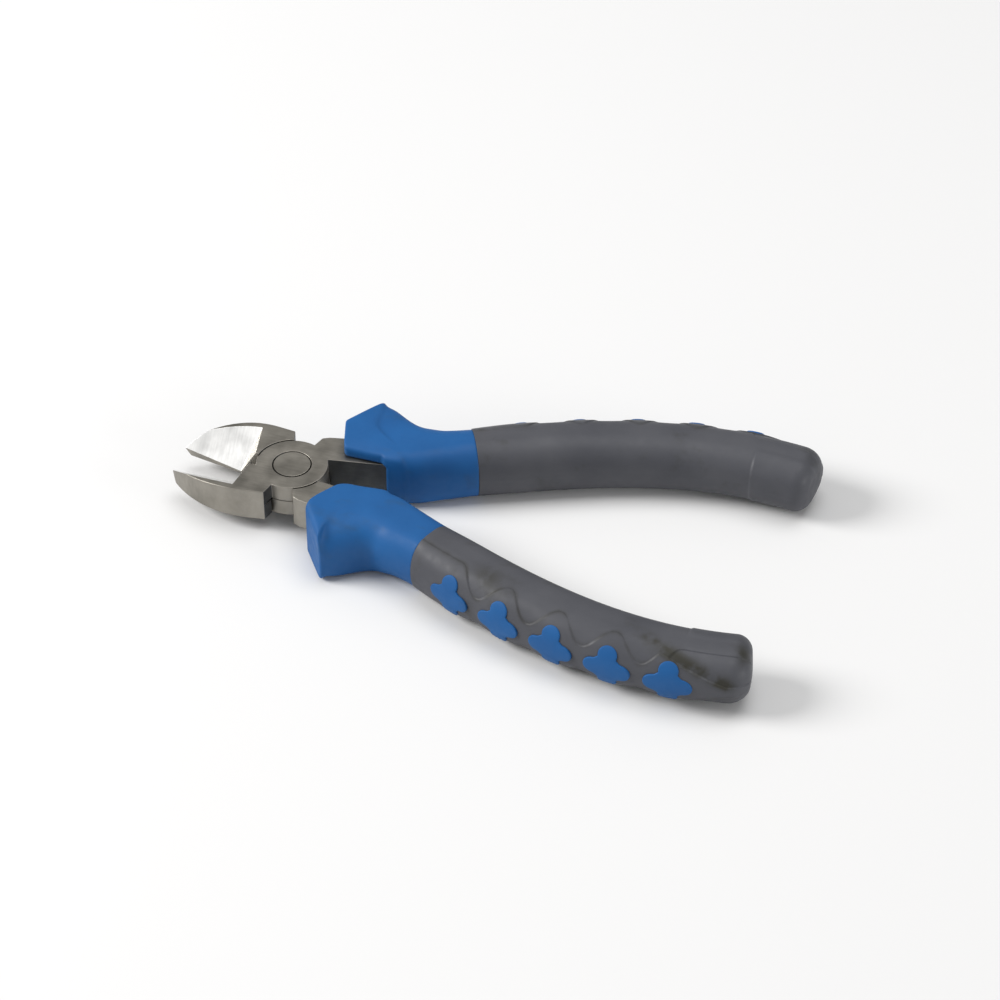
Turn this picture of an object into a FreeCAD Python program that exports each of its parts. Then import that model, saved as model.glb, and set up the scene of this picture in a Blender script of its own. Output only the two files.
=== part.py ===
import FreeCAD, Part
import math
import os

import Sketcher

# Diagonal cutting pliers, lap joint, two-shot grips.  Millimetres, +Z up.
#
# Each half is drawn closed, in its own frame: the pivot on the Z axis, the joint's parting
# plane at z = 0, +X towards the handles and the cutting edges meeting on y = 0.  The upper
# half has its jaw on -Y and its handle on +Y; the lower half is the other way round.  The
# finished pieces are then turned open about the pivot and lifted on to the table plane.

V = FreeCAD.Vector
UPPER = 1
LOWER = -1

# construction sizes that leave no mark on the part
JAW_REACH = 30.0
HALF_SPACE = 150.0
CLEARANCE = 3.0
THROAT_OVERRUN = 0.1
SECTION_POINTS = 24
SLEEVE_SECTIONS = 9
CORE_SECTIONS = 8

DRIVING = {
    # opening at rest, each half turned by this much from closed
    "half_opening_deg": 8.3,
    # head
    "head_thick": 10.0,
    "seam_gap": 0.10,
    "disc_rad": 10.1,
    "recess_gap": 0.35,
    "edge_gap": 0.03,
    "tip_x": -34.3,
    "jaw_arc_rad": 29.7,
    "jaw_crown_x": -9.9,
    "jaw_crown_y": 12.85,
    "jaw_heel_x": -5.6,
    "jaw_heel_y": 12.9,
    "heel_angle_deg": 113.5,
    "throat_x": -11.5,
    "throat_step": 1.5,
    "shoulder_angle_deg": 62.0,
    "shoulder_x": 6.4,
    "shoulder_y": 12.1,
    "shoulder_run": 2.0,
    "shoulder_drop": 0.2,
    "shank_outer_y": 12.9,
    "shank_inner_y": 3.2,
    "shank_end_x": 28.0,
    # ground faces of the jaws
    "edge_tip_z": -1.4,
    "edge_root_x": -16.5,
    "edge_root_z": -3.8,
    "bevel_slope": 0.856,
    "bevel_top_x": -14.7,
    "bevel_top_y": 10.56,
    "relief_slope": 0.40,
    "taper_start_x": -13.0,
    "taper_rad": 58.0,
    # pivot
    "rivet_rad": 5.45,
    "rivet_running_gap": 0.05,
    "rivet_chamfer": 0.3,
    # tang inside the grip
    "tang_thick": 6.0,
    "tang_root_width": 7.4,
    "tang_tip_width": 4.6,
    "tang_end_x": 118.0,
    # centreline of the grip: a cubic Bezier whose control points are evenly spaced in x
    "bow_start_x": 25.0,
    "bow_end_x": 145.0,
    "bow_start_y": 5.5,
    "bow_near_y": 18.9,
    "bow_far_y": 32.5,
    "bow_end_y": 18.2,
    # grip sections
    "grip_thick": 18.5,
    "grip_end_thick": 16.4,
    "grip_end_x": 145.1,
    "grip_end_round": 4.0,
    "neck_x": 34.0,
    "neck_width": 14.5,
    "palm_x": 62.0,
    "palm_width": 17.8,
    "grip_end_width": 18.3,
    "squareness": 2.4,
    "land_depth": 0.08,
    "boundary_x": 49.4,
    "spigot_width": 10.6,
    "spigot_thick": 10.4,
    "spigot_start_x": 31.0,
    # thumb guard: flange
    "guard_front_x": 12.4,
    "guard_corner_y": 16.3,
    "guard_lip_x": 13.8,
    "guard_lip_y": 5.0,
    "guard_peak_x": 22.2,
    "guard_peak_y": 27.0,
    "guard_waist_x": 20.6,
    "guard_waist_y": 15.0,
    "guard_mouth_x": 26.2,
    "guard_mouth_y": 3.0,
    "guard_mouth_top_y": 6.0,
    "guard_mouth_half": 5.3,
    "guard_front_half": 8.3,
    "guard_half": 8.5,
    "guard_round": 0.8,
    # thumb guard: sleeve, measured from the centreline
    "sleeve_start_x": 20.0,
    "sleeve_outer_start": 22.3,
    "sleeve_outer_neck": 9.8,
    "sleeve_inner_start": 2.4,
    "sleeve_inner_neck": 7.3,
    "sleeve_ridge_start": 10.0,
    "sleeve_full_power": 6.0,
    "sleeve_scoop_power": 2.15,
    "sleeve_inner_power": 3.4,
    # stations between which the sleeve's section changes
    "ridge_from_x": 18.0,
    "inner_from_x": 19.0,
    "inner_to_x": 36.0,
    "outer_from_x": 19.5,
    "outer_to_x": 37.5,
    "turn_from_x": 22.0,
    "turn_to_x": 46.0,
    "square_from_x": 24.0,
    "square_to_x": 43.0,
    "inner_square_from_x": 32.0,
    "inner_square_to_x": 49.0,
    "merge_from_x": 36.0,
    "merge_to_x": 50.0,
    # clover pads
    "pad_first_x": 62.9,
    "pad_pitch": 15.6,
    "pad_count": 5.0,
    "pad_half_length": 6.2,
    "pad_half_height": 6.7,
    "pad_lobe_rad": 2.7,
    "pad_stem_width": 4.3,
    "pad_proud": 0.75,
    "pad_depth": 1.2,
}


def make_sheet(doc):
    sheet = doc.addObject("Spreadsheet::Sheet", "Sizes")
    for row, (alias, value) in enumerate(DRIVING.items(), start=1):
        sheet.set("A%d" % row, alias)
        sheet.set("B%d" % row, str(value))
        sheet.setAlias("B%d" % row, alias)
    doc.recompute()
    return sheet


def size(name):
    return float(getattr(SHEET, name))


def polar(radius, angle_deg):
    angle = math.radians(angle_deg)
    return (radius * math.cos(angle), radius * math.sin(angle))


# ---------------------------------------------------------------- sketched profiles

def origin_plane(body, role):
    for feature in body.Origin.OriginFeatures:
        if feature.Role == role:
            return feature
    raise ValueError("no plane " + role)


def bind_point(sketch, edge, end, point, names):
    """Fix a vertex at its coordinates; names are sheet expressions for x and y, or None."""
    for kind, value, expression in (("DistanceX", point[0], names[0]),
                                    ("DistanceY", point[1], names[1])):
        index = sketch.addConstraint(Sketcher.Constraint(kind, -1, 1, edge, end, value))
        if expression:
            label = "%s_%d" % (kind, index)
            sketch.renameConstraint(index, label)
            sketch.setExpression("Constraints." + label, expression)


def seam_sketch(body, name, side):
    """A sketch on the half's own side of the parting plane, half the seam gap away from it."""
    sketch = body.newObject("Sketcher::SketchObject", name)
    sketch.AttachmentSupport = [(origin_plane(body, "XY_Plane"), "")]
    sketch.MapMode = "FlatFace"
    sign = "" if side > 0 else "-"
    sketch.setExpression("AttachmentOffset.Base.z", sign + "Sizes.seam_gap / 2")
    return sketch


def profile(body, name, path, side):
    """A closed outline on the XY plane.

    path is a list of corners (x, y, expression for x, expression for y, arc or None).  The arc
    is the shape of the edge that leaves the corner: (centre x, centre y, turn, expression for
    the radius), where turn is +1 for an anticlockwise arc on the upper half and -1 for a
    clockwise one.  Corners without an expression are where an arc and a line cross.
    """
    sketch = seam_sketch(body, name, side)
    ends = []
    count = len(path)
    for index, corner in enumerate(path):
        start = (corner[0], corner[1] * side)
        following = path[(index + 1) % count]
        stop = (following[0], following[1] * side)
        arc = corner[4]
        if arc is None:
            edge = sketch.addGeometry(Part.LineSegment(V(*start, 0), V(*stop, 0)), False)
            ends.append((edge, 1, 2))
            continue
        centre = (arc[0], arc[1] * side)
        forward = arc[2] * side > 0
        first, last = (start, stop) if forward else (stop, start)
        radius = math.hypot(start[0] - centre[0], start[1] - centre[1])
        low = math.atan2(first[1] - centre[1], first[0] - centre[0])
        high = math.atan2(last[1] - centre[1], last[0] - centre[0])
        if high <= low:
            high += 2 * math.pi
        circle = Part.Circle(V(*centre, 0), V(0, 0, 1), radius)
        edge = sketch.addGeometry(Part.ArcOfCircle(circle, low, high), False)
        ends.append((edge, 1, 2) if forward else (edge, 2, 1))
        index_radius = sketch.addConstraint(Sketcher.Constraint("Radius", edge, radius))
        if arc[3]:
            sketch.renameConstraint(index_radius, "Radius_%d" % index_radius)
            sketch.setExpression("Constraints.Radius_%d" % index_radius, arc[3])
    for index in range(count):
        edge, _, stop_end = ends[index]
        next_edge, next_start, _ = ends[(index + 1) % count]
        sketch.addConstraint(Sketcher.Constraint("Coincident", edge, stop_end, next_edge, next_start))
    sign = "" if side > 0 else "-"
    for index, corner in enumerate(path):
        edge, start_end, _ = ends[index]
        expression_y = sign + "(" + corner[3] + ")" if corner[3] else None
        bind_point(sketch, edge, start_end, (corner[0], corner[1] * side),
                   (corner[2], expression_y))
    return sketch


def pad_feature(body, name, sketch, length_expression, up):
    feature = body.newObject("PartDesign::Pad", name)
    feature.Profile = sketch
    feature.Reversed = not up
    feature.setExpression("Length", length_expression)
    return feature


def jaw_tail():
    """Corners shared by both thicknesses of a jaw: tip, crown and heel."""
    tip = (size("tip_x"), -size("edge_gap"))
    crown = (size("jaw_crown_x"), -size("jaw_crown_y"))
    centre_y = crown[1] + size("jaw_arc_rad")
    centre_x = tip[0] + math.sqrt(size("jaw_arc_rad") ** 2 - (centre_y - tip[1]) ** 2)
    heel = (size("jaw_heel_x"), -size("jaw_heel_y"))
    return [
        (tip[0], tip[1], "Sizes.tip_x", "-Sizes.edge_gap", (centre_x, centre_y, 1, "Sizes.jaw_arc_rad")),
        (crown[0], crown[1], "Sizes.jaw_crown_x", "-Sizes.jaw_crown_y", None),
        (heel[0], heel[1], "Sizes.jaw_heel_x", "-Sizes.jaw_heel_y", None),
    ]


def shoulder_corners():
    """Outer corners of the shank, from its end back to the shoulder."""
    end_x = size("shank_end_x")
    outer = size("shank_outer_y")
    return [
        (end_x, size("shank_inner_y") + size("tang_root_width"), "Sizes.shank_end_x",
         "Sizes.shank_inner_y + Sizes.tang_root_width", None),
        (size("guard_front_x"), outer, "Sizes.guard_front_x", "Sizes.shank_outer_y", None),
        (size("shoulder_x") + size("shoulder_run"), outer - size("shoulder_drop"),
         "Sizes.shoulder_x + Sizes.shoulder_run", "Sizes.shank_outer_y - Sizes.shoulder_drop", None),
        (size("shoulder_x"), size("shoulder_y"), "Sizes.shoulder_x", "Sizes.shoulder_y", None),
    ]


def on_circle(radius, y):
    return math.sqrt(radius ** 2 - y ** 2)


def plate_path():
    """Outline of the half thickness that carries the pivot disc: jaw, disc and shank."""
    radius = size("disc_rad")
    heel = polar(radius, -size("heel_angle_deg"))
    shoulder = polar(radius, size("shoulder_angle_deg"))
    inner = size("shank_inner_y")
    step = size("throat_step")
    gap = size("edge_gap")
    disc = (0.0, 0.0, 1, "Sizes.disc_rad")
    path = jaw_tail()
    path.append((heel[0], heel[1], None, None, disc))
    path.append((on_circle(radius, inner), inner, None, "Sizes.shank_inner_y", None))
    path.append((size("shank_end_x"), inner, "Sizes.shank_end_x", "Sizes.shank_inner_y", None))
    path += shoulder_corners()
    path.append((shoulder[0], shoulder[1], None, None, disc))
    path.append((-on_circle(radius, step), -step, None, "-Sizes.throat_step", None))
    path.append((size("throat_x"), -step, "Sizes.throat_x", "-Sizes.throat_step", None))
    path.append((size("throat_x"), -gap, "Sizes.throat_x", "-Sizes.edge_gap", None))
    return path


def lower_jaw_path():
    """The jaw below its plate: it stops at the recess that the other half's disc turns in."""
    radius = size("disc_rad") + size("recess_gap")
    heel = polar(radius, -size("heel_angle_deg"))
    gap = size("edge_gap")
    path = jaw_tail()
    path.append((heel[0], heel[1], None, None, (0.0, 0.0, -1, "Sizes.disc_rad + Sizes.recess_gap")))
    path.append((-on_circle(radius, gap), -gap, None, "-Sizes.edge_gap", None))
    return path


def lower_shank_path():
    """The shank below its plate, also stopping at the recess."""
    radius = size("disc_rad") + size("recess_gap")
    shoulder = polar(radius, size("shoulder_angle_deg"))
    inner = size("shank_inner_y")
    path = [(on_circle(radius, inner), inner, None, "Sizes.shank_inner_y", None),
            (size("shank_end_x"), inner, "Sizes.shank_end_x", "Sizes.shank_inner_y", None)]
    path += shoulder_corners()
    path.append((shoulder[0], shoulder[1], None, None,
                 (0.0, 0.0, -1, "Sizes.disc_rad + Sizes.recess_gap")))
    return path


def forged_blank(doc, name, side, bore_expression):
    """Jaw, pivot plate and shank of one half before grinding."""
    body = doc.addObject("PartDesign::Body", name)
    up = side > 0
    plate = profile(body, name + "_plate_sketch", plate_path(), side)
    pad_feature(body, name + "_plate", plate, "(Sizes.head_thick - Sizes.seam_gap) / 2", up)
    for part, path in (("jaw", lower_jaw_path()), ("shank", lower_shank_path())):
        sketch = profile(body, "%s_%s_sketch" % (name, part), path, side)
        pad_feature(body, "%s_%s" % (name, part), sketch, "(Sizes.head_thick + Sizes.seam_gap) / 2", not up)
    doc.recompute()
    bore = body.newObject("Sketcher::SketchObject", name + "_bore_sketch")
    bore.AttachmentSupport = [(origin_plane(body, "XY_Plane"), "")]
    bore.MapMode = "FlatFace"
    bore.addGeometry(Part.Circle(V(0, 0, 0), V(0, 0, 1), size("rivet_rad")), False)
    bore.addConstraint(Sketcher.Constraint("Coincident", 0, 3, -1, 1))
    index = bore.addConstraint(Sketcher.Constraint("Radius", 0, size("rivet_rad")))
    bore.renameConstraint(index, "bore_rad")
    bore.setExpression("Constraints.bore_rad", bore_expression)
    doc.recompute()
    before = body.Shape.Volume
    hole = body.newObject("PartDesign::Pocket", name + "_bore")
    hole.Profile = bore
    hole.Type = "ThroughAll"
    hole.Midplane = True
    doc.recompute()
    if body.Shape.Volume >= before:
        raise RuntimeError(name + " bore cut nothing")
    return body


# ---------------------------------------------------------------- ground faces

def edge_direction():
    """The cutting edge runs diagonally down through the jaw's thickness from tip to root."""
    fall = size("edge_root_z") - size("edge_tip_z")
    return V(1, 0, fall / (size("edge_root_x") - size("tip_x")))


def edge_root(side):
    """Inner end of the cutting edge, on the face of the jaw that meets the other jaw."""
    return V(size("edge_root_x"), -side * size("edge_gap"), size("edge_root_z"))


def grinding_block(side, start_x, stop_x):
    """A block around one jaw between two stations, reaching just past the cutting plane."""
    outward = -side
    block = Part.makeBox(stop_x - start_x, JAW_REACH, JAW_REACH,
                         V(start_x, -CLEARANCE, -JAW_REACH / 2))
    if outward < 0:
        block = block.mirror(V(0, 0, 0), V(0, 1, 0))
    return block


def bevel_tool(side):
    """What the wheel grinds off the top of a jaw: a bevel up from the edge, a sloping end."""
    outward = -side
    top = size("head_thick") / 2
    root = edge_root(side)
    crest = V(size("bevel_top_x"), outward * size("bevel_top_y"), top)
    throat = V(size("throat_x") + THROAT_OVERRUN, 0, top)
    bevel_normal = edge_direction().cross(V(0, outward, size("bevel_slope")))
    if bevel_normal.z < 0:
        bevel_normal = bevel_normal * -1
    end_normal = (crest - root).cross(throat - root)
    if end_normal.x > 0:
        end_normal = end_normal * -1
    block = grinding_block(side, size("tip_x") - CLEARANCE, size("throat_x") + CLEARANCE)
    return block.common(half_space(root, bevel_normal)).common(half_space(root, end_normal))


def half_space(point, normal):
    """A large block whose one face passes through point, on the side that normal points to."""
    block = Part.makeBox(2 * HALF_SPACE, 2 * HALF_SPACE, HALF_SPACE, V(-HALF_SPACE, -HALF_SPACE, 0))
    block.Placement = FreeCAD.Placement(point, FreeCAD.Rotation(V(0, 0, 1), normal))
    return block


def relief_tool(side):
    """The narrow relief under the edge, so that the jaws meet on the edge alone."""
    outward = -side
    root = edge_root(side)
    normal = edge_direction().cross(V(0, outward * size("relief_slope"), -1))
    if normal.y * outward > 0:
        normal = normal * -1
    block = grinding_block(side, size("tip_x") - CLEARANCE, size("throat_x"))
    return block.common(half_space(root, normal))


def taper_tool():
    """The top of both jaws falls away to the tip along a large arc about the Y direction."""
    radius = size("taper_rad")
    top = size("head_thick") / 2
    start = size("taper_start_x")
    length = start - size("tip_x") + CLEARANCE
    width = 2 * JAW_REACH
    block = Part.makeBox(length, width, JAW_REACH, V(start - length, -JAW_REACH, 0))
    drum = Part.makeCylinder(radius, width, V(start, -JAW_REACH, top - radius), V(0, 1, 0))
    return block.cut(drum)


def feature_from(doc, name, shape):
    feature = doc.addObject("Part::Feature", name)
    feature.Shape = shape
    return feature


def tang_shape(side):
    """The flat bar that each shank draws down to inside its grip."""
    end_x = size("tang_end_x")
    start_x = size("shank_end_x") - 1.0
    middle_x = (start_x + end_x) / 2
    inner_start = V(start_x, size("shank_inner_y"), 0)
    outer_start = V(start_x, size("shank_inner_y") + size("tang_root_width"), 0)
    middle_half = (size("tang_root_width") + size("tang_tip_width")) / 4
    tip_half = size("tang_tip_width") / 2
    middle_y = centre_y(middle_x)
    tip_y = centre_y(end_x)
    outer = Part.Arc(outer_start, V(middle_x, middle_y + middle_half, 0), V(end_x, tip_y + tip_half, 0))
    inner = Part.Arc(V(end_x, tip_y - tip_half, 0), V(middle_x, middle_y - middle_half, 0), inner_start)
    edges = [outer.toShape(),
             Part.LineSegment(V(end_x, tip_y + tip_half, 0), V(end_x, tip_y - tip_half, 0)).toShape(),
             inner.toShape(),
             Part.LineSegment(inner_start, outer_start).toShape()]
    face = Part.Face(Part.Wire(edges))
    face.translate(V(0, 0, -size("tang_thick") / 2))
    bar = face.extrude(V(0, 0, size("tang_thick")))
    return flip(bar, side)


def lever(doc, name, side, bore_expression):
    """One forged half: blank, tang, then the three ground faces cut from it."""
    blank = forged_blank(doc, name + "_blank", side, bore_expression)
    tang = feature_from(doc, name + "_tang", tang_shape(side))
    whole = doc.addObject("Part::Fuse", name + "_forging")
    whole.Base = blank
    whole.Tool = tang
    for step, tool in (("bevel", bevel_tool(side)), ("relief", relief_tool(side)),
                       ("taper", taper_tool())):
        cutter = feature_from(doc, "%s_%s_tool" % (name, step), tool)
        cut = doc.addObject("Part::Cut", "%s_%s" % (name, step))
        cut.Base = whole
        cut.Tool = cutter
        whole = cut
    return whole


# ---------------------------------------------------------------- grips

def flip(shape, side):
    """A copy of a handle's shape, turned over about the X axis for the lower half."""
    if side < 0:
        shape = shape.copy()
        shape.rotate(V(0, 0, 0), V(1, 0, 0), 180)
    return shape


def bow_share(x):
    return (x - size("bow_start_x")) / (size("bow_end_x") - size("bow_start_x"))


def centre_y(x):
    share = bow_share(x)
    rest = 1 - share
    return (size("bow_start_y") * rest ** 3 + 3 * size("bow_near_y") * rest ** 2 * share
            + 3 * size("bow_far_y") * rest * share ** 2 + size("bow_end_y") * share ** 3)


def centre_slope(x):
    step = 0.01
    return (centre_y(x + step) - centre_y(x - step)) / (2 * step)


def blend(x, low_x, high_x, low, high):
    """A smooth step from low to high between two stations."""
    share = min(max((x - low_x) / (high_x - low_x), 0.0), 1.0)
    share = share * share * (3 - 2 * share)
    return low + (high - low) * share


def grip_width(x):
    width = blend(x, size("neck_x"), size("palm_x"), size("neck_width"), size("palm_width"))
    return width + blend(x, size("palm_x"), size("grip_end_x"), 0.0,
                         size("grip_end_width") - size("palm_width"))


def grip_thick(x):
    return blend(x, size("palm_x"), size("grip_end_x"), size("grip_thick"), size("grip_end_thick"))


def across_direction(slope):
    """Unit vector square to a line of this slope in plan, pointing outward."""
    length = math.hypot(1, slope)
    return V(-slope / length, 1 / length, 0)


def closed_curve(points):
    curve = Part.BSplineCurve()
    curve.interpolate(Points=points, PeriodicFlag=True)
    return Part.Wire([curve.toShape()])


def around(power, index):
    """Shares of the half width and half height at one of the section's points."""
    angle = 2 * math.pi * index / SECTION_POINTS
    across = math.copysign(abs(math.cos(angle)) ** (2 / power), math.cos(angle))
    rise = math.copysign(abs(math.sin(angle)) ** (2 / power), math.sin(angle))
    return across, rise


def section(x, width, thick):
    """A rounded section square to the centreline, as one closed smooth edge."""
    normal = across_direction(centre_slope(x))
    centre = V(x, centre_y(x), 0)
    points = []
    for index in range(SECTION_POINTS):
        across, rise = around(size("squareness"), index)
        points.append(centre + normal * (across * width / 2) + V(0, 0, rise * thick / 2))
    return closed_curve(points)


def grip_loft(start_x, end_x, grow):
    """The outside of the grip between two stations, grown outward by a skin thickness."""
    wires = []
    count = 5
    for index in range(count):
        x = start_x + (end_x - start_x) * index / (count - 1)
        wires.append(section(x, grip_width(x) + 2 * grow, grip_thick(x) + 2 * grow))
    return Part.makeLoft(wires, True, False)


def grip_body():
    """Hard core of the grip with its rounded end."""
    round_rad = size("grip_end_round")
    start_x = size("boundary_x")
    shares = (0.45, 0.75, 0.93)
    straight_end = size("grip_end_x") - round_rad * shares[-1]
    wires = []
    for index in range(CORE_SECTIONS):
        x = start_x + (straight_end - start_x) * index / (CORE_SECTIONS - 1)
        wires.append(section(x, grip_width(x), grip_thick(x)))
    for share in shares:
        inset = round_rad * (1 - math.sqrt(1 - share ** 2))
        x = straight_end + round_rad * share
        wires.append(section(x, grip_width(x) - 2 * inset, grip_thick(x) - 2 * inset))
    return Part.makeLoft(wires, True, False)


def rest_lands(shape):
    """Flat lands along the top and underside, where the grip lies on the bench."""
    height = size("grip_thick") / 2 - size("land_depth")
    slab = Part.makeBox(2 * HALF_SPACE, 2 * HALF_SPACE, 2 * height, V(0, -HALF_SPACE, -height))
    return shape.common(slab)


def spigot_shape():
    """Reduced front end of the hard core, which the soft guard is moulded over."""
    start_x = size("spigot_start_x")
    end_x = size("boundary_x") + 1.0
    wires = [section(x, size("spigot_width"), size("spigot_thick"))
             for x in (start_x, (start_x + end_x) / 2, end_x)]
    return Part.makeLoft(wires, True, False)


def clover_prism(x):
    """Four round lobes about a centre, drawn out along the outward normal of the grip."""
    outward = across_direction(centre_slope(x))
    along = V(outward.y, -outward.x, 0)
    centre = V(x, centre_y(x), 0)
    lobe = size("pad_lobe_rad")
    reach = size("palm_width")
    shape = Part.makeCylinder(lobe, reach, centre, outward)
    for direction, extent in ((along, size("pad_half_length")), (V(0, 0, 1), size("pad_half_height"))):
        for sign in (-1, 1):
            offset = direction * (sign * (extent - lobe))
            shape = shape.fuse(Part.makeCylinder(lobe, reach, centre + offset, outward))
            width = size("pad_stem_width")
            bar = Part.makeBox(extent - lobe, width, reach, V(0, -width / 2, 0))
            turn = FreeCAD.Rotation(direction * sign, outward.cross(direction * sign), outward, "XYZ")
            bar.Placement = FreeCAD.Placement(centre, turn)
            shape = shape.fuse(bar)
    return shape.removeSplitter()


def pad_centres():
    return [size("pad_first_x") + size("pad_pitch") * index for index in range(int(size("pad_count")))]


def pad_shapes():
    """Raised soft pads set into the outer spine of the core."""
    shapes = []
    for x in pad_centres():
        reach = size("pad_half_length") + CLEARANCE
        skin = grip_loft(x - reach, x + reach, size("pad_proud"))
        inner = grip_loft(x - reach - 1, x + reach + 1, -size("pad_depth"))
        shapes.append(clover_prism(x).common(skin).cut(inner))
    return shapes


def guard_flange():
    """Front plate of the thumb guard: a slanted front, a slanted outer facet, a waisted back."""
    corners = [V(size("guard_lip_x"), size("guard_lip_y"), 0),
               V(size("guard_front_x"), size("guard_corner_y"), 0),
               V(size("guard_peak_x"), size("guard_peak_y"), 0),
               V(size("guard_waist_x"), size("guard_waist_y"), 0),
               V(size("guard_mouth_x"), size("guard_lip_y") + 2.0, 0),
               V(size("guard_mouth_x"), size("guard_mouth_y"), 0)]
    half = size("guard_front_half")
    face = Part.Face(Part.makePolygon(corners + [corners[0]]))
    face.translate(V(0, 0, -half))
    plate = face.extrude(V(0, 0, 2 * half))
    rims = [edge for edge in plate.Edges if abs(edge.BoundBox.ZLength) < 0.001]
    return plate.makeFillet(size("guard_round"), rims)


def sleeve_section(x):
    """Section of the sleeve: full and square on its +Z side, scooped for the thumb on its -Z side.

    The scoop springs from a ridge that lies outside the centreline near the flange.
    """
    neck = size("spigot_start_x")
    merge = (size("merge_from_x"), size("merge_to_x"))
    ridge = blend(x, size("ridge_from_x"), neck, size("sleeve_ridge_start"), 0.0)
    half_neck = grip_width(size("boundary_x")) / 2
    outer = blend(x, size("outer_from_x"), size("outer_to_x"), size("sleeve_outer_start"),
                  size("sleeve_outer_neck"))
    outer = outer - ridge - blend(x, *merge, 0.0, size("sleeve_outer_neck") - half_neck)
    inner = blend(x, size("inner_from_x"), size("inner_to_x"), size("sleeve_inner_start"),
                  size("sleeve_inner_neck"))
    inner = inner + ridge + blend(x, *merge, 0.0, half_neck - size("sleeve_inner_neck"))
    tall = blend(x, size("sleeve_start_x"), neck, size("guard_half"), size("grip_thick") / 2)
    turn = blend(x, size("turn_from_x"), size("turn_to_x"), 0.0, 1.0)
    normal = across_direction(centre_slope(x) * turn)
    centre = V(x, centre_y(x), 0) + normal * ridge
    square = (size("square_from_x"), size("square_to_x"))
    inner_power = blend(x, size("inner_square_from_x"), size("inner_square_to_x"),
                        size("sleeve_inner_power"), size("squareness"))
    points = []
    for index in range(SECTION_POINTS):
        scooped = index > SECTION_POINTS / 2
        start_power = size("sleeve_scoop_power") if scooped else size("sleeve_full_power")
        across, rise = around(blend(x, *square, start_power, size("squareness")), index)
        if across < -0.001:
            across, rise = around(inner_power, index)
        wide = outer if across > 0 else inner
        points.append(centre + normal * (across * wide) + V(0, 0, rise * tall))
    return closed_curve(points)


def guard_sleeve():
    """The closed sleeve behind the flange, from its full front down to the core."""
    start = size("sleeve_start_x")
    stop = size("boundary_x") + CLEARANCE
    wires = []
    for index in range(SLEEVE_SECTIONS):
        wires.append(sleeve_section(start + (stop - start) * index / (SLEEVE_SECTIONS - 1)))
    return Part.makeLoft(wires, True, False)


def guard_outside():
    """Prism that trims the sleeve to the flange's facet and to the slant of its inner lip."""
    peak = V(size("guard_peak_x"), size("guard_peak_y"), 0)
    corner = V(size("guard_front_x"), size("guard_corner_y"), 0)
    lip = V(size("guard_lip_x"), size("guard_lip_y"), 0)
    beyond = peak + (peak - corner)
    points = [lip, corner, beyond, V(HALF_SPACE, beyond.y, 0), V(HALF_SPACE, -HALF_SPACE, 0),
              V(size("spigot_start_x"), 0, 0), V(size("guard_mouth_x") - CLEARANCE, size("guard_mouth_y"), 0)]
    face = Part.Face(Part.makePolygon(points + [points[0]]))
    face.translate(V(0, 0, -JAW_REACH))
    return face.extrude(V(0, 0, 2 * JAW_REACH))


def guard_mouth():
    """Opening between the upper and lower lips, where the bare shank enters the guard."""
    half = size("guard_mouth_half")
    return Part.makeBox(size("guard_mouth_x"), JAW_REACH, 2 * half,
                        V(0, size("guard_mouth_top_y") - JAW_REACH, -half))


def boundary_cut(shape, keep_front):
    """Cut square to the centreline where the soft guard meets the core."""
    x = size("boundary_x")
    along = V(1, centre_slope(x), 0)
    if keep_front:
        along = along * -1
    return shape.common(half_space(V(x, centre_y(x), 0), along))


# ---------------------------------------------------------------- assembly

def rivet(doc):
    """Straight pivot rivet, finished flush with both faces of the head."""
    body = doc.addObject("PartDesign::Body", "pivot_rivet")
    sketch = body.newObject("Sketcher::SketchObject", "pivot_rivet_sketch")
    sketch.AttachmentSupport = [(origin_plane(body, "XY_Plane"), "")]
    sketch.MapMode = "FlatFace"
    sketch.addGeometry(Part.Circle(V(0, 0, 0), V(0, 0, 1), size("rivet_rad")), False)
    sketch.addConstraint(Sketcher.Constraint("Coincident", 0, 3, -1, 1))
    index = sketch.addConstraint(Sketcher.Constraint("Radius", 0, size("rivet_rad")))
    sketch.renameConstraint(index, "rivet_rad")
    sketch.setExpression("Constraints.rivet_rad", "Sizes.rivet_rad")
    shank = body.newObject("PartDesign::Pad", "pivot_rivet_shank")
    shank.Profile = sketch
    shank.Midplane = True
    shank.setExpression("Length", "Sizes.head_thick")
    doc.recompute()
    chamfer = body.newObject("PartDesign::Chamfer", "pivot_rivet_chamfer")
    rims = ["Edge%d" % (number + 1) for number, edge in enumerate(shank.Shape.Edges)
            if isinstance(edge.Curve, Part.Circle)]
    chamfer.Base = (shank, rims)
    chamfer.setExpression("Size", "Sizes.rivet_chamfer")
    doc.recompute()
    return body


def grip_nodes(doc, half, side, lever_solid):
    """Hard core, soft guard and five soft pads of one handle."""
    tang = tang_shape(UPPER)
    spigot = boundary_cut(spigot_shape(), True)
    core = boundary_cut(grip_body(), False).fuse(spigot).removeSplitter()
    pads = pad_shapes()
    core_solid = core.cut(tang)
    for pad in pads:
        core_solid = core_solid.cut(pad)
    guard = boundary_cut(guard_sleeve().fuse(guard_flange()).common(guard_outside()), True)
    guard = guard.cut(guard_mouth()).cut(core).cut(flip(lever_solid, side))
    shapes = [(half + "_grip_core", rest_lands(core_solid)),
              (half + "_thumb_guard", rest_lands(guard))]
    shapes += [("%s_grip_pad_%d" % (half, number + 1), pad) for number, pad in enumerate(pads)]
    return [(feature_from(doc, name, shape), name, handle_placement(side)) for name, shape in shapes]


def rest_placement(side):
    """Each half is opened about the pivot by half of the opening at rest."""
    return FreeCAD.Placement(V(0, 0, 0), FreeCAD.Rotation(V(0, 0, 1), side * size("half_opening_deg")))


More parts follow.
